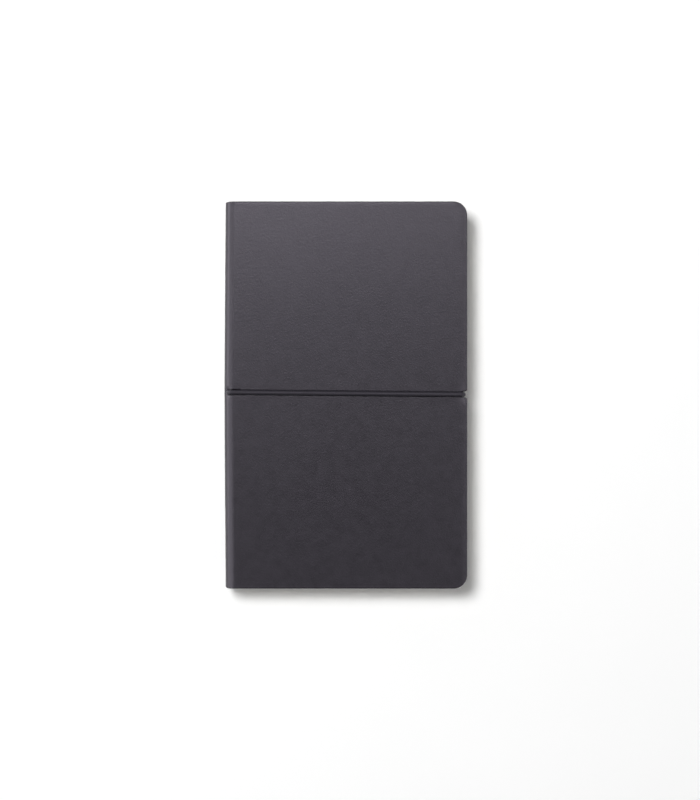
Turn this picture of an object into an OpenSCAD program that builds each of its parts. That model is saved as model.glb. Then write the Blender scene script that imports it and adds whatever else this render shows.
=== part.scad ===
// Pocket notebook: sewn pages in a soft cover, held shut by a round elastic loop.
// X runs from the spine to the fore edge, Y from the tail to the head, Z up from the back cover.
// The origin is on the table, under the middle of the notebook.

/* [Notebook] */
// Width from the spine's outer face to the cover's fore edge
book_w = 88; // [80:1:100]
// Height from tail to head
book_h = 140; // [120:1:160]
// Radius of the cover's two fore-edge corners
corner_r = 5; // [2:0.5:8]
// Outer radius of the two shoulders where the cover bends into the spine
shoulder_r = 3.6; // [3:0.1:4]

/* [Cover] */
// Thickness of the soft outer skin
skin_t = 0.6; // [0.5:0.05:0.7]
// Thickness of the flexible board under the skin
board_t = 0.2; // [0.15:0.05:0.3]
// Width of the skin that is turned in round the board's edges
turn_in_w = 1.2; // [0.8:0.1:2]
// How far the cover stands past the pages at the fore edge
overhang_fore = 2.4; // [2.2:0.1:2.6]
// How far the cover stands past the pages at head and tail
overhang_end = 1.8; // [1:0.1:2.5]

/* [Pages] */
// Thickness of the whole block of pages
block_t = 9.6; // [9:0.1:11]
// Folded and sewn signatures in each half of the block
signatures_per_half = 6; // [6]
// Thickness of one endpaper leaf
endpaper_t = 0.12; // [0.1:0.01:0.15]
// Room that one loose page takes in the closed block
page_t = 0.1; // [0.08:0.01:0.12]
// Loose pages at the middle of the block, which turn one by one
centre_pages = 4; // [4]
// Radius of the pages' fore-edge corners
page_corner_r = 4; // [2:0.5:6]

/* [Spine] */
// Thickness of the cloth and glue that line the spine inside
lining_t = 0.25; // [0.2:0.05:0.3]
// Diameter of the sewing thread
thread_d = 0.4; // [0.3:0.05:0.5]
// Places along the spine where the thread crosses the folds
thread_crossings = 6; // [4:2:6]
// Distance from one crossing to the next
thread_pitch = 24; // [20:1:26]

/* [Elastic] */
// Diameter of the round elastic cord
cord_d = 1.8; // [1.6:0.1:2]
// Height of the cord above the notebook's middle
cord_y = 0.8; // [-5:0.1:5]
// How deep the cord presses into each cover
cord_sink = 0.35; // [0.2:0.05:0.4]
// Bend radius of the cord's centreline at the four corners of its loop
cord_bend_r = 1.2; // [1.1:0.1:1.5]
// Length of the crimp sleeve that closes the loop inside the spine
crimp_l = 4; // [3:0.5:5]
// Wall of the crimp sleeve
crimp_wall = 0.14; // [0.1:0.01:0.15]

/* [Hidden] */
$fn = 96;
past = 1;          // how far a cutting shape runs past what it cuts
gap = 0.02;        // running clearance between the cord and what it passes

spine_x = -book_w / 2;
fore_x = book_w / 2;
back_z = cord_d - cord_sink;                     // outer face of the back cover
front_z = back_z + 2 * (skin_t + board_t + endpaper_t) + block_t;
middle_z = (back_z + front_z) / 2;               // where the notebook opens flat
hinge_x = spine_x + shoulder_r;                  // where the panels meet the shoulders
half_t = block_t / 2;
fold_x = spine_x + skin_t + lining_t;            // outer face of the signatures' folds
pages_x = fore_x - overhang_fore;
pages_h = book_h - 2 * overhang_end;
centre_t = centre_pages * page_t;
signature_t = (half_t - centre_t / 2 - endpaper_t) / signatures_per_half;
inner_r = shoulder_r - skin_t;                   // inside of the shoulder's skin
fold_clearance = 0.08;                           // between the shoulder's skin and the folds
pastedown_inset = 1.6;                           // from the cover's edge to the endpaper's edge

cord_r = cord_d / 2;
cord_low_z = cord_r;
cord_high_z = front_z - cord_sink + cord_r;
cord_spine_x = fold_x + lining_t + cord_r - 0.2; // centreline of the run inside the spine
cord_fore_x = pages_x + cord_r + 0.1;            // centreline of the run down the fore edge
channel_w = cord_d + 0.4;
crimp_r = cord_r + gap + crimp_wall;
tunnel_w = 2 * crimp_r + 0.2;
tunnel_x = cord_spine_x + crimp_r + 0.1;         // page side of the tunnel inside the spine
notch_root_x = cord_fore_x - cord_r - 0.4;
notch_mouth_w = 2.9;
thread_slot_w = thread_d + 0.2;
thread_slot_depth = thread_d + 0.1;
thread_stations = [for (i = [0 : thread_crossings - 1]) (i - (thread_crossings - 1) / 2) * thread_pitch];

PAPER = [0.93, 0.91, 0.84];
SKIN = [0.21, 0.20, 0.22];

// ---- shared shapes ----

// A sheet's outline between x0 and x1, with its two corners at x1 rounded
module outline(x0, x1, h, r) {
    translate([x0, -h / 2]) square([x1 - x0 - r, h]);
    translate([x1 - r, r - h / 2]) square([r, h - 2 * r]);
    for (side = [-1, 1]) translate([x1 - r, side * (h / 2 - r)]) circle(r);
}

// A flat sheet between heights z0 and z1
module sheet(x0, x1, h, r, z0, z1) {
    translate([0, 0, z0]) linear_extrude(z1 - z0) outline(x0, x1, h, r);
}

// Extrudes a drawing of the spine's cross-section, in X and Z, along a length of Y
module along_spine(length, y = 0) {
    translate([0, y + length / 2, 0]) rotate([90, 0, 0]) linear_extrude(length) children();
}

// Turns a front part into its back twin, about the height where the notebook opens
module as_back() {
    translate([0, 0, 2 * middle_z]) mirror([0, 0, 1]) children();
}

// The notch in a cover's fore edge that the cord drops into, with a flared mouth
module fore_notch(z0, z1) {
    translate([0, cord_y, z0]) linear_extrude(z1 - z0) {
        translate([notch_root_x, -channel_w / 2]) square([fore_x - notch_root_x + past, channel_w]);
        polygon([
            [cord_fore_x, -channel_w / 2], [fore_x, -notch_mouth_w / 2], [fore_x + past, -notch_mouth_w / 2],
            [fore_x + past, notch_mouth_w / 2], [fore_x, notch_mouth_w / 2], [cord_fore_x, channel_w / 2]
        ]);
    }
}

// The tunnel beside the folds that the cord runs through, between heights z0 and z1
module tunnel(z0, z1) {
    translate([spine_x + skin_t, cord_y - tunnel_w / 2, z0])
        cube([tunnel_x - spine_x - skin_t, tunnel_w, z1 - z0]);
}

// The cord's loop, seen from the tail: two runs over the covers, one in the spine, one at the fore edge
module cord_run(x0, x1, z) {
    translate([x0, cord_y, z]) rotate([0, 90, 0]) cylinder(h = x1 - x0, r = cord_r);
}

module cord_drop(x) {
    translate([x, cord_y, cord_low_z + cord_bend_r])
        cylinder(h = cord_high_z - cord_low_z - 2 * cord_bend_r, r = cord_r);
}

// One quarter bend of the cord, centred at (x, z), that turns from angle a to a + 90
module cord_bend(x, z, a) {
    translate([x, cord_y, z]) rotate([90, 0, 0]) rotate([0, 0, a])
        rotate_extrude(angle = 90) translate([cord_bend_r, 0]) circle(cord_r);
}

// ---- cover ----

module front_cover_skin() {
    color(SKIN) difference() {
        sheet(hinge_x, fore_x, book_h, corner_r, front_z - skin_t - board_t, front_z);
        // pocket for the board, inside the turned-in edges
        sheet(hinge_x - past, fore_x - turn_in_w, book_h - 2 * turn_in_w, corner_r - turn_in_w,
              front_z - skin_t - board_t - past, front_z - skin_t);
        translate([hinge_x - past, cord_y - channel_w / 2, front_z - cord_sink - gap])
            cube([book_w, channel_w, cord_sink + past]);
        fore_notch(front_z - skin_t - board_t - past, front_z + past);
    }
}

module front_cover_board() {
    color([0.62, 0.55, 0.45]) difference() {
        sheet(hinge_x, fore_x - turn_in_w, book_h - 2 * turn_in_w, corner_r - turn_in_w,
              front_z - skin_t - board_t, front_z - skin_t);
        fore_notch(front_z - skin_t - board_t - past, front_z);
    }
}

module front_pastedown() {
    color(PAPER) difference() {
        sheet(hinge_x, fore_x - pastedown_inset, book_h - 2 * pastedown_inset, page_corner_r,
              front_z - skin_t - board_t - endpaper_t, front_z - skin_t - board_t);
        fore_notch(front_z - skin_t - board_t - endpaper_t - past, front_z);
    }
}

module front_flyleaf() {
    color(PAPER)
        sheet(hinge_x, pages_x, pages_h, page_corner_r, middle_z + half_t - endpaper_t, middle_z + half_t);
}

module back_cover_skin() { as_back() front_cover_skin(); }
module back_cover_board() { as_back() front_cover_board(); }
module back_pastedown() { as_back() front_pastedown(); }
module back_flyleaf() { as_back() front_flyleaf(); }

// ---- spine ----

// Half of the spine: the shoulder's quarter round and the flat below it
module front_spine_skin() {
    color(SKIN) difference() {
        along_spine(book_h) {
            translate([spine_x, middle_z]) square([skin_t, front_z - shoulder_r - middle_z]);
            intersection() {
                translate([hinge_x, front_z - shoulder_r]) difference() {
                    circle(shoulder_r);
                    circle(inner_r);
                }
                translate([spine_x, front_z - shoulder_r]) square(shoulder_r);
            }
        }
        // the eyelet slot that the cord comes out of
        translate([spine_x + skin_t, cord_y - channel_w / 2, front_z - shoulder_r])
            cube([cord_spine_x + cord_bend_r + gap - spine_x - skin_t, channel_w, shoulder_r + past]);
        // the end of the cover's channel
        translate([cord_spine_x, cord_y - channel_w / 2, front_z - cord_sink - gap])
            cube([book_w, channel_w, cord_sink + past]);
    }
}

module front_spine_lining() {
    color([0.88, 0.88, 0.84]) difference() {
        along_spine(pages_h)
            translate([spine_x + skin_t, middle_z]) square([lining_t, front_z - shoulder_r - middle_z]);
        tunnel(middle_z - past, front_z);
    }
}

// The thread that crosses the backs of one half's folds, in slots sawn across them
module front_sewing_thread() {
    low = middle_z + centre_t / 2;
    high = low + (signatures_per_half - 2) * signature_t;
    color([0.95, 0.94, 0.9])
        for (y = thread_stations)
            translate([fold_x + thread_d / 2 + gap, y, low]) cylinder(h = high - low, r = thread_d / 2);
}

module back_spine_skin() { as_back() front_spine_skin(); }
module back_spine_lining() { as_back() front_spine_lining(); }
module back_sewing_thread() { as_back() front_sewing_thread(); }

// ---- pages ----

// How far the shoulder's curve lets a fold come out, when the fold's top is at height z
function shoulder_limit(z) =
    let (rise = z - (front_z - shoulder_r), r = inner_r - fold_clearance)
    rise <= 0 ? fold_x : max(fold_x, hinge_x - sqrt(max(0, r * r - rise * rise)));

// Signature n of the front half, counted from the middle of the block outwards
module signature(n) {
    z0 = middle_z + centre_t / 2 + n * signature_t;
    z1 = z0 + signature_t;
    x0 = shoulder_limit(z1);
    fold_r = signature_t / 2;
    color(PAPER) difference() {
        union() {
            sheet(x0 + fold_r, pages_x, pages_h, page_corner_r, z0, z1);
            along_spine(pages_h) translate([x0 + fold_r, z0 + fold_r]) circle(fold_r);
        }
        tunnel(z0 - past, z1 + past);
        for (y = thread_stations)
            translate([spine_x, y - thread_slot_w / 2, z0 - past])
                cube([fold_x + thread_slot_depth - spine_x, thread_slot_w, signature_t + 2 * past]);
    }
}

module front_signature(number) { signature(signatures_per_half - number); }
module back_signature(number) { as_back() signature(number - signatures_per_half - 1); }

// Loose page n of the middle, counted from the front
module centre_page(n) {
    z1 = middle_z + centre_t / 2 - (n - 1) * page_t;
    color(PAPER) difference() {
        sheet(fold_x, pages_x, pages_h, page_corner_r, z1 - page_t, z1);
        tunnel(z1 - page_t - past, z1 + past);
        for (y = thread_stations)
            translate([spine_x, y - thread_slot_w / 2, z1 - page_t - past])
                cube([fold_x + thread_slot_depth - spine_x, thread_slot_w, page_t + 2 * past]);
    }
}

// ---- elastic ----

module elastic_band() {
    left = cord_spine_x + cord_bend_r;
    right = cord_fore_x - cord_bend_r;
    low = cord_low_z + cord_bend_r;
    high = cord_high_z - cord_bend_r;
    color([0.09, 0.09, 0.1]) {
        cord_run(left, right, cord_high_z);
        cord_run(left, right, cord_low_z);
        cord_drop(cord_spine_x);
        cord_drop(cord_fore_x);
        cord_bend(right, high, 0);
        cord_bend(left, high, 90);
        cord_bend(left, low, 180);
        cord_bend(right, low, 270);
    }
}

// The metal sleeve that closes the loop, hidden in the spine's tunnel in the back half
module elastic_crimp() {
    color([0.75, 0.75, 0.77])
        translate([cord_spine_x, cord_y, middle_z - crimp_l - gap]) difference() {
            cylinder(h = crimp_l, r = crimp_r);
            translate([0, 0, -past]) cylinder(h = crimp_l + 2 * past, r = cord_r + gap);
        }
}

front_cover_skin();
front_cover_board();
front_pastedown();
front_flyleaf();
back_cover_skin();
back_cover_board();
back_pastedown();
back_flyleaf();
front_spine_skin();
back_spine_skin();
front_spine_lining();
back_spine_lining();
front_sewing_thread();
back_sewing_thread();
front_signature(1);  // signature_01
front_signature(2);  // signature_02
front_signature(3);  // signature_03
front_signature(4);  // signature_04
front_signature(5);  // signature_05
front_signature(6);  // signature_06
back_signature(7);  // signature_07
back_signature(8);  // signature_08
back_signature(9);  // signature_09
back_signature(10);  // signature_10
back_signature(11);  // signature_11
back_signature(12);  // signature_12
centre_page(1);  // centre_page_1
centre_page(2);  // centre_page_2
centre_page(3);  // centre_page_3
centre_page(4);  // centre_page_4
elastic_band();
elastic_crimp();
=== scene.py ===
"""Pocket notebook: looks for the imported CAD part.

Lengths are in millimetres until new_piece() turns them into metres. X runs from the spine to the fore
edge, Y from tail to head and Z up, as in the CAD model. Driving sizes are read from the CAD nodes' boxes.
"""

import math

import bmesh
import bpy
import numpy as np
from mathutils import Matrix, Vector, noise
from mathutils.geometry import delaunay_2d_cdt


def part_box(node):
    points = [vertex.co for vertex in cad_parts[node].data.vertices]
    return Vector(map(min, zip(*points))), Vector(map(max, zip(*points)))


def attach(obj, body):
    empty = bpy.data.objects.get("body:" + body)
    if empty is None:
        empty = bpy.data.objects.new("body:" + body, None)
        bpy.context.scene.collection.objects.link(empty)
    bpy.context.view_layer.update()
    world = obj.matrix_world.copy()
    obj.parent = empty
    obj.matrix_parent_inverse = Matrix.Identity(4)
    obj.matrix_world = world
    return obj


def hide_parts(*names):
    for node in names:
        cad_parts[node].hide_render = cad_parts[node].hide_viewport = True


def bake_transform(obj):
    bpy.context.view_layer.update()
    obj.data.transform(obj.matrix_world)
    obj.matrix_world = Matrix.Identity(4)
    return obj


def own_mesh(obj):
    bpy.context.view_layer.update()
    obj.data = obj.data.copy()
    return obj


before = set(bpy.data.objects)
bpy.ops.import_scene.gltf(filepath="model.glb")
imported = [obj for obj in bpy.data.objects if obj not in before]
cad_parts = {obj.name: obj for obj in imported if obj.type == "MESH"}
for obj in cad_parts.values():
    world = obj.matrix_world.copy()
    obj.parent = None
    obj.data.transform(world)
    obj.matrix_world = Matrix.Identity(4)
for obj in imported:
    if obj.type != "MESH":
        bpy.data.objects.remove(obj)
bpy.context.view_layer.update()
MM = 0.001

# ---- sizes, read from the CAD nodes ----


def low(node):
    """A CAD node's lowest corner, in millimetres."""
    return np.array(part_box(node)[0]) / MM


def high(node):
    """A CAD node's highest corner, in millimetres."""
    return np.array(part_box(node)[1]) / MM


SPINE_X = low("front_spine_skin")[0]
HINGE_X = low("front_cover_skin")[0]
FORE_X = high("front_cover_skin")[0]
HALF_H = high("front_cover_skin")[1]
FRONT_Z = high("front_cover_skin")[2]
MIDDLE_Z = low("front_spine_skin")[2]
SHOULDER_R = HINGE_X - SPINE_X
COVER_T = FRONT_Z - low("front_cover_skin")[2]
SKIN_T = low("front_spine_lining")[0] - SPINE_X
FOLD_X = low("signature_06")[0]
CORD_R = (high("elastic_band")[1] - low("elastic_band")[1]) / 2
CORD_Y = (high("elastic_band")[1] + low("elastic_band")[1]) / 2
CORD_LEFT = low("elastic_band")[0] + CORD_R
CORD_RIGHT = high("elastic_band")[0] - CORD_R
CORD_LOW = low("elastic_band")[2] + CORD_R
CORD_HIGH = high("elastic_band")[2] - CORD_R

# ---- sizes of what the CAD model leaves plain ----

CORNER_R = 5.0          # the cover's fore-edge corners
PAGE_CORNER_R = 4.0
HEAD_DRAW = 0.25        # how far the cover's corners at the spine are rounded, at the head
TAIL_DRAW = 0.3         # and at the tail
FACE_INSET = 0.045      # how far the cover's faces lie inside the CAD faces
FORE_ROLL = 0.12        # how far the faces roll off at the fore edge
CORD_SLOPE = -0.0092    # the cord falls a little towards the fore edge
CORD_SHIFT = -0.2       # and lies a little nearer the tail
CORD_BEND_R = 1.2
CORD_SINK = FRONT_Z - (CORD_HIGH - CORD_R)
NOTCH_R = 1.02          # root of the notch in the fore edge
NOTCH_FILLET = 0.5
NOTCH_DEPTH = FORE_X - (CORD_RIGHT - CORD_R) + 0.05
HOLE_R = 1.0            # the hole that the cord comes out of
SLOT_R = CORD_R + 0.06  # and the slot that runs on from it
HOLE_RIM = 0.25         # how far the rounding of their edges reaches
SLOT_X = HINGE_X + 3    # the slot's end, so far under the cord that the open cover clears the cord
HOLE_DIP = 0.28         # how deep the cover is pressed in round the hole
SPINE_BOW = 0.45        # how far the spine's ends draw in
BOARD_TRIM = 1.5        # how far the boards end inside the turned-in skin
FLYLEAF_GAP_X = HINGE_X + 3.9  # how far the flyleaves are open for the cord
LEAF_THIN = 0.009       # what a loose page gives up on each face, so that it lies free
SHEETS = 4              # folded sheets in a signature
LEAF_FILL = 0.82        # a leaf's thickness, as a part of the room it has
FORE_UNEVEN = 0.07      # how far the sheets' edges differ at the fore edge
END_UNEVEN = 0.06       # and at head and tail
ROOT_REACH = 16.5       # how far the elastic's root runs on inside the loop
ROOT_THIN = 0.06        # and how much thinner it is there, as a part of its radius
CORD_STEP = 0.28        # from one ring of the cord to the next
CORD_SIDES = 32
STRANDS = 8             # of the braid, each way round
BRAID_PITCH = 2.2
BRAID_DEPTH = 0.045

PAST_CUT = -2           # where the flat cover starts, beyond the cut at its middle
BENT_TO = 9.5           # up to here it has close points, because it bends
COARSE, FINE = 2.4, 0.4  # from point to point on its outline
NEAR_EDGE = np.array([0.8, 1.3, 1.8, 2.5, 4])  # rows of points beside head and tail

SPINE_FLAT = FRONT_Z - SHOULDER_R - MIDDLE_Z
ARC_L = SHOULDER_R * math.pi / 2
SHEET_L = SPINE_FLAT + ARC_L + FORE_X - HINGE_X


def cord_y(x):
    """The cord's place along the notebook's height, at x."""
    return CORD_Y + CORD_SHIFT + CORD_SLOPE * x


def panel_x(s):
    """The x of a point of the cover's panel that lies s along the flat cover."""
    return HINGE_X + s - SPINE_FLAT - ARC_L


def smooth(x, a, b):
    """0 before a, 1 after b, and a smooth step between them."""
    t = np.clip((np.asarray(x, float) - a) / (b - a), 0, 1)
    return t * t * (3 - 2 * t)


def wave(x, y, size, seed):
    """Smooth random height between about -1 and 1, at points x, y."""
    return np.array([noise.noise(Vector((a / size, b / size, seed))) for a, b in zip(x, y)])


def spine_draw(x, y):
    """How far the spine's end at height y lies inside its middle, fading out across the cover."""
    return SPINE_BOW * (np.abs(y) / HALF_H) ** 1.3 * (1 - smooth(x, SPINE_X + 2, SPINE_X + 9))


# ---- making pieces ----


def new_piece(name, verts, faces, material, slot):
    """A mesh object from points in millimetres."""
    mesh = bpy.data.meshes.new(name)
    mesh.from_pydata((np.asarray(verts) * MM).tolist(), [], [list(map(int, f)) for f in faces])
    mesh.validate()
    mesh.polygons.foreach_set("use_smooth", [True] * len(mesh.polygons))
    mesh.set_sharp_from_angle(angle=math.radians(50))
    mesh.materials.append(material)
    piece = bpy.data.objects.new(name, mesh)
    bpy.context.collection.objects.link(piece)
    return piece


def mirrored(verts):
    """Front points turned into back points, about the height where the notebook opens."""
    return np.asarray(verts) * [1, 1, -1] + [0, 0, 2 * MIDDLE_Z]


def loop_quads(a, b, n):
    """Quads between two closed rings of n points that start at indices a and b."""
    return [(a + i, a + (i + 1) % n, b + (i + 1) % n, b + i) for i in range(n)]


def arc(cx, cy, r, a0, a1, steps):
    """Points on an arc, angles in degrees."""
    t = np.radians(np.linspace(a0, a1, steps))
    return np.c_[cx + r * np.cos(t), cy + r * np.sin(t)]


def line(p, q, step):
    """Points from p up to, but not at, q."""
    n = max(1, int(round(math.dist(p, q) / step)))
    return np.linspace(p, q, n + 1)[:-1]


def without_doubles(points):
    """A closed loop without points that lie on each other."""
    keep = np.linalg.norm(points - np.roll(points, 1, 0), axis=1) > 0.01
    return points[keep]


def inward(points):
    """Unit normals of a counter-clockwise loop that point to its left, which is inside it."""
    d = np.roll(points, -1, 0) - np.roll(points, 1, 0)
    d /= np.linalg.norm(d, axis=1)[:, None]
    return np.c_[-d[:, 1], d[:, 0]]


def inside(points, loop):
    """Which points lie inside a closed loop."""
    x, y = points[:, 0][:, None], points[:, 1][:, None]
    a, b = loop, np.roll(loop, -1, 0)
    crosses = (a[:, 1] > y) != (b[:, 1] > y)
    with np.errstate(divide="ignore", invalid="ignore"):
        at = (b[:, 0] - a[:, 0]) * (y - a[:, 1]) / (b[:, 1] - a[:, 1]) + a[:, 0]
    return (crosses & (x < at)).sum(1) % 2 == 1


def distance(points, loop):
    """How far each point is from a closed loop."""
    a, b = loop, np.roll(loop, -1, 0)
    d = b - a
    best = np.full(len(points), 1e9)
    for i in range(len(a)):
        t = np.clip(((points - a[i]) @ d[i]) / (d[i] @ d[i]), 0, 1)
        best = np.minimum(best, np.linalg.norm(points - a[i] - t[:, None] * d[i], axis=1))
    return best


def thick_sheet(loops, grid, thickness, rim_steps=5):
    """A sheet with rounded rims, in flat coordinates.

    loops[0] runs counter-clockwise round the sheet and the others clockwise round its holes. Returns
    points as (s, y, depth) and faces.
    """
    r = thickness / 2
    clear_of_edge, clear_of_hole, ring_in = 0.2, 0.16, 0.13
    angles = np.linspace(0, math.pi, 2 * rim_steps + 1)
    verts, faces, inner_loops, starts = [], [], [], []
    for number, loop in enumerate(loops):
        normal, n = inward(loop), len(loop)
        reach = HOLE_RIM if number else r
        base = len(verts)
        for a in angles:
            ring = loop + normal * reach * (1 - math.sin(a))
            verts += [(s, y, r * (1 - math.cos(a))) for s, y in ring]
        for k in range(len(angles) - 1):
            # rings run from the outer face down the rim
            faces += [f[::-1] for f in loop_quads(base + k * n, base + (k + 1) * n, n)]
        inner_loops.append(loop + normal * reach)
        starts.append(base)
    keep = inside(grid, inner_loops[0]) & (distance(grid, inner_loops[0]) > clear_of_edge)
    for loop in inner_loops[1:]:
        keep &= ~inside(grid, loop) & (distance(grid, loop) > clear_of_hole)
    ring = loops[0] + inward(loops[0]) * (r + ring_in)
    grid = np.vstack([grid[keep], ring])
    flat = np.vstack(inner_loops + [grid])
    edges, first, at = [], 0, []
    for loop in inner_loops:
        edges += [(first + i, first + (i + 1) % len(loop)) for i in range(len(loop))]
        at.append(first)
        first += len(loop)
    out = delaunay_2d_cdt([Vector(p) for p in flat], edges, [], 0, 1e-6)
    points = np.array([list(p) for p in out[0]])
    triangles = np.array(out[2])
    middle = points[triangles].mean(1)
    good = inside(middle, inner_loops[0])
    for loop in inner_loops[1:]:
        good &= ~inside(middle, loop)
    triangles = triangles[good]
    # outer and inner face: ring points are shared with the rims, grid points are new
    source = [o[0] if o else -1 for o in out[3]]
    outer, under = {}, {}
    for i, src in enumerate(source):
        k = next((k for k in reversed(range(len(at))) if src >= at[k]), None)
        if 0 <= src < first:
            n = len(inner_loops[k])
            outer[i] = starts[k] + src - at[k]
            under[i] = starts[k] + 2 * rim_steps * n + src - at[k]
        else:
            outer[i] = len(verts)
            verts.append((points[i][0], points[i][1], 0.0))
            under[i] = len(verts)
            verts.append((points[i][0], points[i][1], thickness))
    corners = points[triangles]
    area = np.cross(corners[:, 1] - corners[:, 0], corners[:, 2] - corners[:, 0])
    for t, a in zip(triangles, area):
        t = t if a > 0 else t[::-1]
        faces.append(tuple(outer[i] for i in t))
        faces.append(tuple(under[i] for i in t[::-1]))
    return np.array(verts), faces


def cut_at_middle(verts, faces):
    """Keeps what lies above the height where the notebook opens, and closes the cut."""
    bm = bmesh.new()
    points = [bm.verts.new(v) for v in verts]
    for f in faces:
        bm.faces.new([points[i] for i in f])
    geom = bm.verts[:] + bm.edges[:] + bm.faces[:]
    cut = bmesh.ops.bisect_plane(
        bm, geom=geom, dist=1e-5, plane_co=(0, 0, MIDDLE_Z), plane_no=(0, 0, 1), clear_inner=True
    )
    rim = [e for e in cut["geom_cut"] if isinstance(e, bmesh.types.BMEdge)]
    bmesh.ops.edgeloop_fill(bm, edges=rim)
    bmesh.ops.delete(bm, geom=[v for v in bm.verts if not v.link_faces], context="VERTS")
    bmesh.ops.recalc_face_normals(bm, faces=bm.faces[:])
    bm.verts.index_update()
    out = np.array([v.co[:] for v in bm.verts]), [[v.index for v in f.verts] for f in bm.faces]
    bm.free()
    return out


def grid_sheet(us, rows, place, keep=lambda u, y: True):
    """A thin closed sheet: rows(u) gives the heights of a column's points and place(u, y, side) a point.

    Cells whose middle fails keep(u, y) are left open.
    """
    table = np.array([rows(u) for u in us])
    n, m = table.shape
    verts = [place(us[i], table[i, j], side) for side in (0, 1) for i in range(n) for j in range(m)]
    under = n * m
    faces, sides = [], set()
    for i in range(n - 1):
        for j in range(m - 1):
            if not keep((us[i] + us[i + 1]) / 2, (table[i, j] + table[i + 1, j + 1]) / 2):
                continue
            a, b = i * m + j, (i + 1) * m + j
            ring = [a, b, b + 1, a + 1]
            faces += [ring, [k + under for k in reversed(ring)]]
            sides |= set(zip(ring, ring[1:] + ring[:1]))
    faces += [[q, p, p + under, q + under] for p, q in sorted(sides) if (q, p) not in sides]
    used = np.unique(np.concatenate(faces))
    number = {k: i for i, k in enumerate(used)}
    return np.array(verts)[used], [[number[k] for k in f] for f in faces]


def joined(parts):
    """Several (points, faces) in one."""
    verts, faces, first = [], [], 0
    for v, f in parts:
        verts.append(v)
        faces += [[first + i for i in face] for face in f]
        first += len(v)
    return np.vstack(verts), faces


# ---- cover ----


def bend(points):
    """Flat cover points (s, y, depth) brought to the front cover's place: spine, shoulder and panel."""
    s, y, n = points.T
    t = np.clip((s - SPINE_FLAT) / SHOULDER_R, 0, math.pi / 2)
    x = HINGE_X - (SHOULDER_R - n) * np.cos(t) + np.maximum(s - SPINE_FLAT - ARC_L, 0)
    z = FRONT_Z - SHOULDER_R + (SHOULDER_R - n) * np.sin(t) + np.minimum(s - SPINE_FLAT, 0)
    return np.c_[x + spine_draw(x, y), y, z]


def edge_y(s, draw):
    """Half the cover's height at s: its corners at the spine are a little rounded."""
    return HALF_H - draw * (1 - smooth(s, SPINE_FLAT - 1, SPINE_FLAT + ARC_L * 0.75))


def cover_loops():
    """The cover's outline with its notch for the cord, and the hole in its shoulder with its slot.

    Returns both loops, and the hole's middle line as (first s, last s, y).
    """
    length, c, y0 = SHEET_L, CORNER_R, cord_y(FORE_X)
    ends = np.r_[np.arange(PAST_CUT, BENT_TO, 0.35), np.arange(BENT_TO + 0.1, length - c, COARSE)]
    tail = np.c_[ends, -edge_y(ends, TAIL_DRAW)]
    head = np.c_[ends, edge_y(ends, HEAD_DRAW)][::-1]
    u = np.linspace(0, NOTCH_DEPTH - NOTCH_R, 7)
    half = NOTCH_R + NOTCH_FILLET * np.exp(-u / 0.4)
    loop = np.vstack([
        tail,
        arc(length - c, c - HALF_H, c, -90, 0, 12),
        line((length, c - HALF_H + 2), (length, y0 - 5), COARSE),
        line((length, y0 - 5), (length, y0 - half[0]), FINE),
        np.c_[length - u, y0 - half],
        arc(length - NOTCH_DEPTH + NOTCH_R, y0, NOTCH_R, 260, 100, 9),
        np.c_[length - u, y0 + half][::-1],
        line((length, y0 + half[0] + FINE), (length, y0 + 5), FINE),
        line((length, y0 + 5), (length, HALF_H - c - 1), COARSE),
        arc(length - c, HALF_H - c, c, 0, 90, 12),
        head,
        line((PAST_CUT, HALF_H - 4), (PAST_CUT, 3 - HALF_H), 3),
    ])
    start = SPINE_FLAT + SHOULDER_R * math.acos((HINGE_X - CORD_LEFT + CORD_R) / SHOULDER_R)
    a, b = start - 0.35 + HOLE_R, SPINE_FLAT + ARC_L + SLOT_X - HINGE_X - HOLE_R
    y1 = cord_y(CORD_LEFT)
    run = np.arange(a + 0.3, b, 0.3)
    width = HOLE_R - (HOLE_R - SLOT_R) * smooth(run, a + 0.3, a + 1.8)
    hole = np.vstack([
        arc(a, y1, HOLE_R, 270, 90, 15),
        np.c_[run, y1 + width],
        arc(b, y1, SLOT_R, 90, -90, 15),
        np.c_[run, y1 - width][::-1],
    ])
    return [without_doubles(loop), without_doubles(hole)], (a, b, y1)


def cover_grid():
    """Points inside the sheet, close together where it bends and along the cord."""
    near = np.arange(-2.4, 2.41, 0.2)
    s_all = np.r_[
        np.arange(-1.6, SPINE_FLAT, 0.7),
        np.arange(SPINE_FLAT, 9.7, 0.3),
        np.arange(10.4, SHEET_L - 3, 2.2),
        SHEET_L - np.array([2.4, 1.8, 1.3, 0.8]),
    ]
    s_cord = np.r_[
        s_all[s_all < SHEET_L - 6],
        np.arange(SHEET_L - 6, SHEET_L - 0.4, 0.28),
        np.arange(10, SHEET_L - 6.5, 2.2) + 0.8,
    ]
    rows = np.r_[-(HALF_H - NEAR_EDGE), np.linspace(-63, -3.2, 21)]
    rows = np.r_[rows, np.linspace(4.4, 63, 20), HALF_H - NEAR_EDGE]
    wide = [(s, y) for s in s_all for y in rows]
    close = [(s, cord_y(panel_x(s)) + d) for s in np.unique(s_cord) for d in near]
    return np.array(wide + close)


def edge_distance(s, y):
    """How far points lie inside the cover's fore edge, head and tail."""
    a, b = s - (SHEET_L - CORNER_R), np.abs(y) - (HALF_H - CORNER_R)
    return CORNER_R - np.hypot(np.maximum(a, 0), np.maximum(b, 0)) - np.minimum(np.maximum(a, b), 0)


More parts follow.
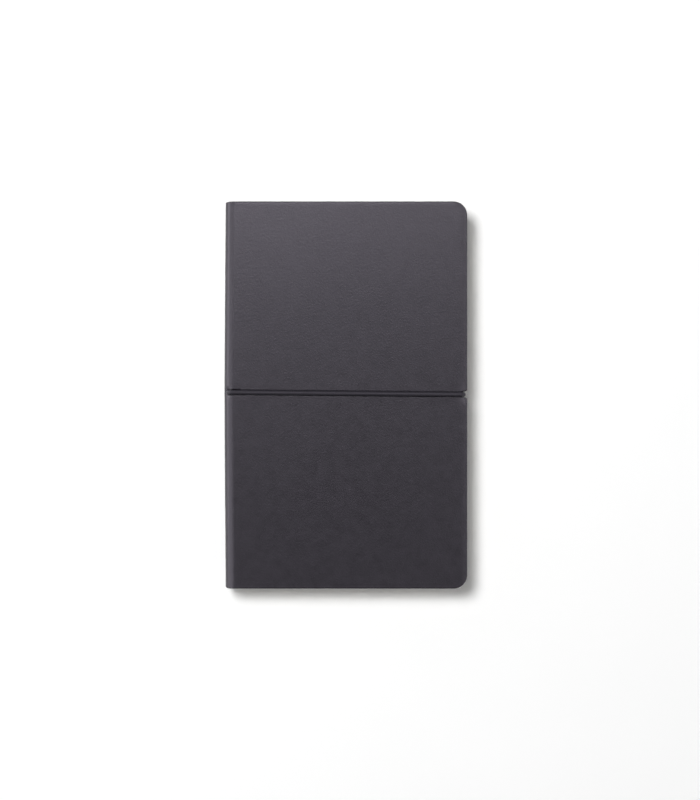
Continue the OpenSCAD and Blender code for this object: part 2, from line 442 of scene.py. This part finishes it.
def front_cover():
    """Points and faces of the front cover and its half of the spine, as one skin."""
    loops, (hole_a, hole_b, hole_y) = cover_loops()
    verts, faces = thick_sheet(loops, cover_grid(), COVER_T)
    s, y, n = verts.T
    x = panel_x(s)
    edge = edge_distance(s, y)
    across = np.abs(y - cord_y(x))
    # the groove under the cord
    sink = (CORD_SINK + 0.03) * (1 - smooth(across, 0.25, 1.0)) * smooth(s, hole_b - 1, hole_b + 1)
    to_hole = np.hypot(np.clip(s, hole_a, hole_b) - s, y - hole_y) - HOLE_R
    # pressed in round the hole, and beside the notch in on its tail side and out on its head side
    sink += HOLE_DIP * np.exp(-(np.maximum(to_hole, 0) / 0.9) ** 2) * (1 - smooth(s, hole_a, hole_a + 1.8))
    notch = np.hypot(np.maximum(SHEET_L - NOTCH_DEPTH + NOTCH_R - s, 0), y - cord_y(FORE_X)) - NOTCH_R
    side = np.tanh((cord_y(FORE_X) - y) / 0.8) * np.where(y > cord_y(FORE_X), 0.08, 0.14)
    sink += side * np.exp(-(np.maximum(notch, 0) / 1.8) ** 2) * (1 - smooth(SHEET_L - s, 0.5, 4.5))
    # rolled off at the edges, and not quite even
    sink += 0.02 * (1 - smooth(edge, 0, 0.9)) + FORE_ROLL * (1 - smooth(SHEET_L - s, 0, 1.9))
    sink += 0.05 * (1 - smooth(HALF_H - y, 0, 0.9))
    uneven = 0.03 * wave(x, y, 34, 3) + 0.012 * wave(x, y, 11, 7)
    sink += FACE_INSET * smooth(edge, 0, 0.8) + uneven * smooth(edge, 0, 6)
    # the inner face is the turned-in skin's at the edges, and leaves room for the board elsewhere
    recess = (n > COVER_T - 1e-6) & (edge > 2.2)
    n = n + sink * (1 - n / COVER_T) - recess * (COVER_T - SKIN_T)
    return cut_at_middle(bend(np.c_[s, y, n]), faces)


# ---- paper ----

# how far the columns of a leaf's rounded corners lie from its fore edge
CORNER_STEPS = PAGE_CORNER_R * (1 - np.sin(np.radians([0, 15, 30, 45, 60, 75, 90])))
# where a leaf's rows lie, as parts of half its height
FRACTIONS = np.array([-1, -0.85, -0.7, -0.5, -0.3, -0.12, 0.12, 0.3, 0.5, 0.7, 0.85, 1])
# the paper's opening for the cord and its crimp: its lowest and highest y, and how far it goes in
GAP = (low("elastic_crimp")[1] - 0.1, cord_y(CORD_LEFT) + CORD_R + 0.1)
GAP_X = high("elastic_crimp")[0] + 0.1


def in_gap(y):
    return GAP[0] < y < GAP[1]


def corner_rows(x, fore, half, gap):
    """Heights of a leaf's points at x, with its fore-edge corners rounded and rows beside a gap."""
    d = max(0.0, PAGE_CORNER_R - (fore - x))
    top = half - (PAGE_CORNER_R - math.sqrt(max(0.0, PAGE_CORNER_R ** 2 - d ** 2)))
    return np.sort(np.r_[FRACTIONS * top, gap])


def signature(node, rng):
    """Folded sheets, one inside the other. u runs from fore edge to fore edge, and is 0 at the fold."""
    lo, hi = low(node), high(node)
    middle, outer_r = (lo[2] + hi[2]) / 2, (hi[2] - lo[2]) / 2
    pitch, leaf_t = outer_r / SHEETS, outer_r / SHEETS * LEAF_FILL
    fold_x = lo[0] + outer_r
    parts = []
    for k in range(SHEETS):
        r = outer_r - k * pitch
        fore = hi[0] + rng.uniform(-FORE_UNEVEN, 0)
        half = hi[1] + rng.uniform(-END_UNEVEN, 0)
        turn = r * math.pi / 2
        reach = fore - fold_x + turn
        flat = np.r_[
            reach - CORNER_STEPS[::-1],
            reach - 30,
            reach - 60,
            GAP_X - fold_x + turn + 5,
            GAP_X - fold_x + turn + 2,
            max(GAP_X - fold_x, 0.05) + turn,
        ]
        us = np.unique(np.round(np.r_[-flat, np.linspace(-turn, turn, 9), flat], 5))

        def place(u, y, side):
            rr = r - side * leaf_t
            if abs(u) <= turn:
                x, z = fold_x - rr * math.cos(u / r), middle + rr * math.sin(u / r)
            else:
                x, z = fold_x + abs(u) - turn, middle + math.copysign(rr, u)
            return x + float(spine_draw(x, y)), y, z

        def rows(u):
            return corner_rows(fold_x + abs(u) - turn, fore, half, GAP)

        def keep(u, y):
            return not (in_gap(y) and fold_x + abs(u) - turn < GAP_X)

        parts.append(grid_sheet(us, rows, place, keep))
    return joined(parts)


def flat_leaf(node, start_x, fine_to, gap_x=None, trim=0.0, thin=0.0):
    """One flat leaf in a CAD node's place, from start_x, with fine columns up to fine_to.

    Before gap_x the leaf is open for the cord; trim shortens its edges, and thin takes from both faces.
    """
    lo, hi = low(node) + [0, 0, thin], high(node) - [trim, trim, thin]
    xs = np.r_[
        np.arange(start_x, fine_to, 0.3),
        np.linspace(fine_to, hi[0] - PAGE_CORNER_R - 3, 9),
        hi[0] - CORNER_STEPS,
    ]
    xs = np.unique(np.round(np.r_[xs, gap_x or start_x], 5))

    def place(x, y, side):
        return x + float(spine_draw(x, y)), y, (lo[2] if side else hi[2])

    def rows(x):
        return corner_rows(x, hi[0], hi[1], GAP)

    def keep(x, y):
        return not (gap_x and in_gap(y) and x < gap_x)

    return grid_sheet(xs, rows, place, keep)


def front_pastedown():
    """The endpaper on the inside of the front cover, with the strip that bridges the hinge.

    It keeps clear of the cover's notch, and of its slot up to x = far.
    """
    lo, hi = low("front_pastedown"), high("front_pastedown")
    to_s = SPINE_FLAT + ARC_L - HINGE_X
    start = SPINE_FLAT + ARC_L * 0.72
    fore_gap = FORE_X - NOTCH_DEPTH - 0.15
    notch = cord_y(FORE_X) + np.array([-1, 1]) * (NOTCH_R + 0.15)
    slot = cord_y(CORD_LEFT) + np.array([-1, 1]) * (HOLE_R + 0.1)
    far = SLOT_X + 0.1
    ss = np.r_[
        np.arange(start, to_s + far, 0.25),
        to_s + np.linspace(far, hi[0] - 8, 9),
        to_s + hi[0] - CORNER_STEPS,
        to_s + fore_gap,
    ]

    def place(s, y, side):
        depth = FRONT_Z - hi[2] + 0.01 + side * (hi[2] - lo[2] - 0.01)
        return bend(np.array([[s, y, depth]]))[0]

    def rows(s):
        return corner_rows(s - to_s, hi[0], hi[1], np.r_[notch, slot])

    def keep(s, y):
        in_notch = notch[0] < y < notch[1] and s - to_s > fore_gap
        return not (in_notch or (slot[0] < y < slot[1] and s - to_s < far))

    return grid_sheet(np.unique(np.round(ss, 5)), rows, place, keep)


def spine_lining():
    """The front half of the cloth that lines the spine."""
    lo, hi = low("front_spine_lining"), high("front_spine_lining")

    def place(z, y, side):
        x = hi[0] if side else lo[0]
        return x + float(spine_draw(x, y)), y, z

    def rows(z):
        return np.sort(np.r_[FRACTIONS * hi[1], GAP])

    return grid_sheet(np.linspace(lo[2], hi[2], 6), rows, place, lambda z, y: not in_gap(y))


def painted_slot_shade():
    """A dark strip in the flyleaf's gap: painted shade that makes the cover's slot look dark, so that no
    paper shows through it.
    """
    lo, hi = low("front_flyleaf"), high("front_flyleaf")
    side_room, face_room, end_x = 0.02, 0.03, HINGE_X + 3.75

    def place(x, y, side):
        return x + float(spine_draw(x, y)), y, (lo[2] + face_room if side else hi[2] - face_room)

    def rows(x):
        return np.linspace(GAP[0] + side_room, GAP[1] - side_room, 3)

    return grid_sheet(np.linspace(GAP_X - 0.1, end_x, 8), rows, place)


# ---- elastic ----


def cord_path(inner_x, run_x):
    """Points along half the loop: the upper run, the bends at run_x and the lower run.

    The cord lies square through the spine, and its slope and shift fade in as it comes out.
    """
    side = math.copysign(1, run_x)
    bend_x = run_x - side * CORD_BEND_R
    upper = arc(0, CORD_HIGH - CORD_BEND_R, CORD_BEND_R, 90, 0, 12) * [side, 1] + [bend_x, 0]
    lower = arc(0, CORD_LOW + CORD_BEND_R, CORD_BEND_R, 0, -90, 12) * [side, 1] + [bend_x, 0]
    path = np.vstack([[inner_x, CORD_HIGH], upper, lower, [inner_x, CORD_LOW]])
    way = np.r_[0, np.cumsum(np.linalg.norm(np.diff(path, axis=0), axis=1))]
    at = np.linspace(0, way[-1], int(way[-1] / CORD_STEP))
    x, z = np.interp(at, way, path[:, 0]), np.interp(at, way, path[:, 1])
    level = 1 if side > 0 else smooth(np.abs(z - MIDDLE_Z), 4.1, 5.4)
    return np.c_[x, CORD_Y + (CORD_SHIFT + CORD_SLOPE * x) * level, z], at


def braided(inner_x, run_x, thin_from=None):
    """A braided round cord along half the loop, with closed ends. Beyond thin_from it is thinner."""
    path, way = cord_path(inner_x, run_x)
    radius = CORD_R
    if thin_from is not None:
        radius = CORD_R * (1 - ROOT_THIN * smooth(path[:, 0], thin_from, thin_from + 0.5)[:, None])
        way = way - (inner_x - thin_from)
    tangent = np.gradient(path, axis=0)
    tangent /= np.linalg.norm(tangent, axis=1)[:, None]
    side = np.cross(tangent, [0, 1, 0])
    side /= np.linalg.norm(side, axis=1)[:, None]
    up = np.cross(side, tangent)
    n, around = len(path), CORD_SIDES
    angle = np.arange(around) / around * 2 * math.pi
    turn = way[:, None] * 2 * math.pi / BRAID_PITCH
    strand = np.cos(STRANDS * angle[None, :] + turn) * np.cos(STRANDS * angle[None, :] - turn)
    r = radius - BRAID_DEPTH * (0.5 - 0.5 * strand)
    cos, sin = np.cos(angle)[None, :, None], np.sin(angle)[None, :, None]
    rings = path[:, None, :] + r[:, :, None] * (up[:, None, :] * cos + side[:, None, :] * sin)
    faces = []
    for k in range(n - 1):
        faces += loop_quads(k * around, (k + 1) * around, around)
    verts = np.vstack([rings.reshape(-1, 3), path[0], path[-1]])
    faces += [(i, (i + 1) % around, n * around)[::-1] for i in range(around)]
    last = (n - 1) * around
    faces += [(last + i, last + (i + 1) % around, n * around + 1) for i in range(around)]
    return verts, [f[::-1] for f in faces]


# ---- materials ----


class Finish:
    """A Principled material whose textures are laid out in millimetres on the piece at rest."""

    def __init__(self, name, color, roughness, **sockets):
        self.material = bpy.data.materials.new(name)
        self.material.use_nodes = True
        self.tree = self.material.node_tree
        self.shader = self.tree.nodes["Principled BSDF"]
        self.color = color
        self.shader.inputs["Base Color"].default_value = (*color, 1)
        self.shader.inputs["Roughness"].default_value = roughness
        for key, value in sockets.items():
            self.shader.inputs[key.replace("_", " ")].default_value = value
        self.roughness = roughness
        place = self.add("ShaderNodeTexCoord")
        scale = self.add("ShaderNodeMapping")
        scale.inputs["Scale"].default_value = (1000, 1000, 1000)
        self.link(place.outputs["Object"], scale.inputs["Vector"])
        self.place = scale.outputs["Vector"]
        self.bump = None
        self.tint = None

    def add(self, kind, **settings):
        node = self.tree.nodes.new(kind)
        for key, value in settings.items():
            setattr(node, key, value)
        return node

    def link(self, a, b):
        self.tree.links.new(a, b)

    def math(self, operation, *values):
        node = self.add("ShaderNodeMath", operation=operation)
        for socket, value in zip(node.inputs, values):
            if isinstance(value, (int, float)):
                socket.default_value = value
            else:
                self.link(value, socket)
        return node.outputs[0]

    def noise(self, per_mm, detail, stretch=None):
        vector = self.place
        if stretch:
            mapping = self.add("ShaderNodeMapping")
            mapping.inputs["Scale"].default_value = stretch
            self.link(vector, mapping.inputs["Vector"])
            vector = mapping.outputs["Vector"]
        node = self.add("ShaderNodeTexNoise")
        node.inputs["Scale"].default_value = per_mm
        node.inputs["Detail"].default_value = detail
        self.link(vector, node.inputs["Vector"])
        return node.outputs["Fac"]

    def ramp(self, fac, least, most):
        """A value that runs from least to most over fac's usual range."""
        node = self.add("ShaderNodeMapRange")
        limits = (("From Min", 0.3), ("From Max", 0.7), ("To Min", least), ("To Max", most))
        for key, value in limits:
            node.inputs[key].default_value = value
        self.link(fac, node.inputs["Value"])
        return node.outputs[0]

    def vary(self, fac, dark, light):
        """Lets the colour run between dark and light times its own, by fac."""
        scale = self.add("ShaderNodeVectorMath", operation="SCALE")
        if self.tint is None:
            scale.inputs[0].default_value = self.color
        else:
            self.link(self.tint, scale.inputs[0])
        self.link(self.ramp(fac, dark, light), scale.inputs["Scale"])
        self.tint = scale.outputs[0]
        self.link(self.tint, self.shader.inputs["Base Color"])

    def vary_roughness(self, fac, spread):
        value = self.ramp(fac, self.roughness - spread, self.roughness + spread)
        self.link(value, self.shader.inputs["Roughness"])

    def raise_by(self, height, depth_mm, strength=1.0):
        node = self.add("ShaderNodeBump")
        node.inputs["Distance"].default_value = depth_mm * MM
        node.inputs["Strength"].default_value = strength
        self.link(height, node.inputs["Height"])
        if self.bump is not None:
            self.link(self.bump, node.inputs["Normal"])
        self.bump = node.outputs["Normal"]
        self.link(self.bump, self.shader.inputs["Normal"])


SHINE = (0.93, 0.87, 1.0, 1)  # the dark materials reflect a little violet


def cover_finish():
    f = Finish("soft_cover", (0.0095, 0.0082, 0.0112), 0.325, Specular_IOR_Level=0.5, Specular_Tint=SHINE)
    mottle, grain = f.noise(0.35, 4), f.noise(1.9, 2)
    f.vary(mottle, 0.88, 1.12)
    f.vary(grain, 0.88, 1.12)
    f.vary_roughness(mottle, 0.013)
    f.raise_by(f.noise(5.0, 3), 0.012, 0.6)
    f.raise_by(grain, 0.04, 0.9)
    return f.material


def paper_finish(name, color):
    f = Finish(name, color, 0.75, Specular_IOR_Level=0.3)
    fibre = f.noise(2.4, 4, (1, 0.35, 1))
    f.vary(fibre, 0.975, 1.02)
    f.vary(f.noise(0.12, 2), 0.985, 1.01)
    f.raise_by(fibre, 0.008, 0.5)
    return f.material


def board_finish():
    f = Finish("grey_board", (0.36, 0.33, 0.29), 0.85, Specular_IOR_Level=0.25)
    fleck = f.noise(2.8, 5)
    f.vary(fleck, 0.82, 1.15)
    f.raise_by(fleck, 0.03, 0.6)
    return f.material


def cloth_finish():
    f = Finish("lining_cloth", (0.74, 0.72, 0.67), 0.8, Specular_IOR_Level=0.25)
    split = f.add("ShaderNodeSeparateXYZ")
    f.link(f.place, split.inputs[0])
    per_mm = 2 * math.pi / 0.7
    warp = f.math("SINE", f.math("MULTIPLY", split.outputs["Y"], per_mm))
    weft = f.math("SINE", f.math("MULTIPLY", split.outputs["Z"], per_mm))
    weave = f.math("MULTIPLY_ADD", f.math("MULTIPLY", warp, weft), 0.5, 0.5)
    f.vary(weave, 0.86, 1.05)
    f.vary(f.noise(1.7, 3), 0.93, 1.05)
    f.raise_by(weave, 0.06, 0.7)
    return f.material


def thread_finish():
    f = Finish("linen_thread", (0.86, 0.84, 0.77), 0.65, Specular_IOR_Level=0.3)
    ply = f.add("ShaderNodeTexWave", bands_direction="DIAGONAL")
    ply.inputs["Scale"].default_value = 0.9
    ply.inputs["Distortion"].default_value = 0.6
    f.link(f.place, ply.inputs["Vector"])
    f.vary(ply.outputs["Fac"], 0.86, 1.06)
    f.raise_by(ply.outputs["Fac"], 0.05, 0.8)
    return f.material


def cord_finish():
    f = Finish("elastic_cord", (0.0135, 0.0122, 0.0165), 0.5, Specular_IOR_Level=0.36, Specular_Tint=SHINE)
    yarn = f.noise(5.5, 3)
    f.vary(yarn, 0.7, 1.3)
    f.vary_roughness(yarn, 0.06)
    f.raise_by(yarn, 0.03, 0.6)
    return f.material


def metal_finish():
    f = Finish("crimp_metal", (0.80, 0.80, 0.81), 0.34, Metallic=1.0)
    brushed = f.noise(2.0, 4, (6, 6, 0.4))
    f.vary(brushed, 0.9, 1.05)
    f.vary_roughness(brushed, 0.08)
    f.raise_by(brushed, 0.01, 0.6)
    return f.material


def floor_finish():
    glow = {"Emission_Color": (1, 1, 1, 1), "Emission_Strength": 0.095}
    f = Finish("studio_floor", (0.95, 0.95, 0.95), 0.8, Specular_IOR_Level=0.2, **glow)
    f.vary(f.noise(0.02, 2), 0.995, 1.005)
    return f.material


COVER = cover_finish()
PAPER = paper_finish("book_paper", (0.775, 0.74, 0.655))
ENDPAPER = paper_finish("end_paper", (0.74, 0.715, 0.65))
BOARD = board_finish()
CLOTH = cloth_finish()
THREAD = thread_finish()
CORD = cord_finish()
METAL = metal_finish()


# ---- camera and light, in metres ----

CAMERA_AT = (0.00161, -0.0018, 0.8157)
LIT_POINT = (0, 0, 0.012)   # which every lamp faces
WALLS, CEILING = 0.8, 0.01  # how bright the surroundings are

# lights that show only as reflections: name, place, size and power
REFLECTED = (
    ("strip", (-0.08, 0.35, 1.2), (0.5, 0.15), 4.35),
    ("strip_left", (-0.6, 0.35, 1.1), (0.55, 0.15), 1.5),
    ("strip_right", (0.5, 0.35, 1.1), (0.6, 0.15), 2.6),
    ("left_wall", (-0.9, 0, 0.48), (1.9, 0.44), 5.25),
    ("left_wall_top", (-0.9, 0, 1.0), (1.9, 0.6), 5.2),
    ("left_wall_foot", (-0.9, 0.35, 0.13), (1.2, 0.26), 4.6),
    ("left_card", (-0.6, -0.25, 1.15), (0.6, 0.9), 2.2),
    ("right_wall", (0.9, 0, 0.42), (1.9, 0.8), 5.0),
    ("right_card", (0.45, -0.05, 1.1), (1.0, 0.3), 2.4),
)

FLOOR_HALF = 1500       # half the floor's width, in millimetres
FLOOR_LINES = 24


def camera():
    """Looks straight down, from nearly over the notebook's middle."""
    data = bpy.data.cameras.new("camera")
    data.lens = 100
    data.sensor_width = 36
    data.clip_start, data.clip_end = 0.01, 20
    obj = bpy.data.objects.new("camera", data)
    obj.location = CAMERA_AT
    bpy.context.collection.objects.link(obj)
    bpy.context.scene.camera = obj


def lamp(name, at, size, power, diffuse=True, glossy=True):
    """A rectangular light that faces the notebook."""
    data = bpy.data.lights.new(name, "AREA")
    data.shape = "RECTANGLE"
    data.size, data.size_y = size
    data.energy = power
    obj = bpy.data.objects.new(name, data)
    obj.location = Vector(at)
    obj.rotation_euler = (Vector(LIT_POINT) - Vector(at)).to_track_quat("-Z", "Y").to_euler()
    bpy.context.collection.objects.link(obj)
    obj.visible_diffuse, obj.visible_glossy = diffuse, glossy


def surroundings():
    """White walls under a darker ceiling."""
    world = bpy.data.worlds.new("studio")
    world.use_nodes = True
    tree = world.node_tree
    background = tree.nodes["Background"]
    place = tree.nodes.new("ShaderNodeTexCoord")
    split = tree.nodes.new("ShaderNodeSeparateXYZ")
    up = tree.nodes.new("ShaderNodeMapRange")
    up.interpolation_type = "SMOOTHSTEP"
    for key, value in (("From Min", 0.0), ("From Max", 0.9), ("To Min", WALLS), ("To Max", CEILING)):
        up.inputs[key].default_value = value
    tree.links.new(place.outputs["Generated"], split.inputs[0])
    tree.links.new(split.outputs["Z"], up.inputs["Value"])
    tree.links.new(up.outputs[0], background.inputs["Strength"])
    background.inputs["Color"].default_value = (1, 1, 1, 1)
    bpy.context.scene.world = world


def studio():
    """The lights, the surroundings and the floor."""
    lamp("key", (-0.385, 0.385, 1.22), (0.47, 0.47), 16.4, glossy=False)
    for light in REFLECTED:
        lamp(*light, diffuse=False)
    surroundings()
    bpy.context.scene.view_settings.view_transform = "Standard"
    n = FLOOR_LINES
    places = np.linspace(-FLOOR_HALF, FLOOR_HALF, n)
    verts = [(x, y, 0) for x in places for y in places]
    first = [i * n + j for i in range(n - 1) for j in range(n - 1)]
    faces = [(k, k + n, k + n + 1, k + 1) for k in first]
    mesh = bpy.data.meshes.new("floor")
    mesh.from_pydata((np.array(verts) * MM).tolist(), [], faces)
    mesh.materials.append(floor_finish())
    floor = bpy.data.objects.new("floor", mesh)
    bpy.context.collection.objects.link(floor)


# ---- pieces ----


def flipped(shape):
    """A front shape made into the back's."""
    verts, faces = shape
    return mirrored(verts), [list(f)[::-1] for f in faces]


def refinished(name, material):
    """Gives a CAD node that stays in view its material."""
    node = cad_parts[name]
    node.data.materials.clear()
    node.data.materials.append(material)


def bent_at_hinge(front):
    """Bakes a piece of the front cover's place into its mesh."""
    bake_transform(front)


def build_covers():
    """Skins, pastedowns and boards. The back cover stays with the back half."""
    shape = front_cover()
    front = new_piece("cover_front", *shape, COVER, "cover_skin")
    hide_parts("front_cover_skin", "front_spine_skin")
    bent_at_hinge(front)
    back = new_piece("cover_back", *flipped(shape), COVER, "cover_skin")
    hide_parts("back_cover_skin", "back_spine_skin")
    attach(back, "back_half")

    paste = front_pastedown()
    front = new_piece("pastedown_front", *paste, ENDPAPER, "endpaper")
    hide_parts("front_pastedown")
    bent_at_hinge(front)
    back = new_piece("pastedown_back", *flipped(paste), ENDPAPER, "endpaper")
    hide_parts("back_pastedown")
    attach(back, "back_half")

    for part, body in (("front", "front_cover"), ("back", "back_half")):
        shape = flat_leaf(part + "_cover_board", SLOT_X + 0.2, SLOT_X + 0.5, trim=BOARD_TRIM)
        board = new_piece("board_" + part, *shape, BOARD, "cover_board")
        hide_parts(part + "_cover_board")
        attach(board, body)


def build_block():
    """Signatures, loose pages, flyleaves, lining and thread: everything between the covers."""
    rng = np.random.default_rng(11)
    for i in range(1, 13):
        node = "signature_%02d" % i
        piece = new_piece("pages_%02d" % i, *signature(node, rng), PAPER, "page_paper")
        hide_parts(node)
        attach(piece, "front_half" if i <= 6 else "back_half")
    for i in range(1, 5):
        node = "centre_page_%d" % i
        shape = flat_leaf(node, FOLD_X, FOLD_X + 6, gap_x=GAP_X, thin=LEAF_THIN)
        piece = new_piece("leaf_%d" % i, *shape, PAPER, "page_paper")
        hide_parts(node)
        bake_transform(piece)
    for part in ("front", "back"):
        shape = flat_leaf(part + "_flyleaf", HINGE_X - 0.6, HINGE_X + 6, gap_x=FLYLEAF_GAP_X)
        piece = new_piece("flyleaf_" + part, *shape, ENDPAPER, "endpaper")
        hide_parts(part + "_flyleaf")
        if part == "front":
            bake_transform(piece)
        else:
            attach(piece, "back_half")
        lining = spine_lining() if part == "front" else flipped(spine_lining())
        piece = new_piece("lining_" + part, *lining, CLOTH, "spine_lining")
        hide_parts(part + "_spine_lining")
        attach(piece, part + "_half")
        # painted shade: a dark strip of the cover's material behind the cover's slot
        shape = painted_slot_shade() if part == "front" else flipped(painted_slot_shade())
        piece = new_piece("painted_slot_shade_" + part, *shape, COVER, "cover_skin")
        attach(piece, part + "_half")
        refinished(part + "_sewing_thread", THREAD)
    refinished("elastic_crimp", METAL)


def build_elastic():
    """The elastic's loop, and its root in the spine, which fills the gap when the loop is pulled."""
    left_bend = CORD_LEFT + CORD_BEND_R
    band = new_piece("elastic_loop", *braided(left_bend, CORD_RIGHT), CORD, "elastic_cord")
    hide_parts("elastic_band")
    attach(band, "elastic")
    shape = braided(left_bend + ROOT_REACH, CORD_LEFT, left_bend)
    stub = new_piece("elastic_root", *shape, CORD, "elastic_cord")
    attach(stub, "back_half")
    for piece in (band, stub):
        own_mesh(piece)


camera()
studio()
build_covers()
build_block()
build_elastic()
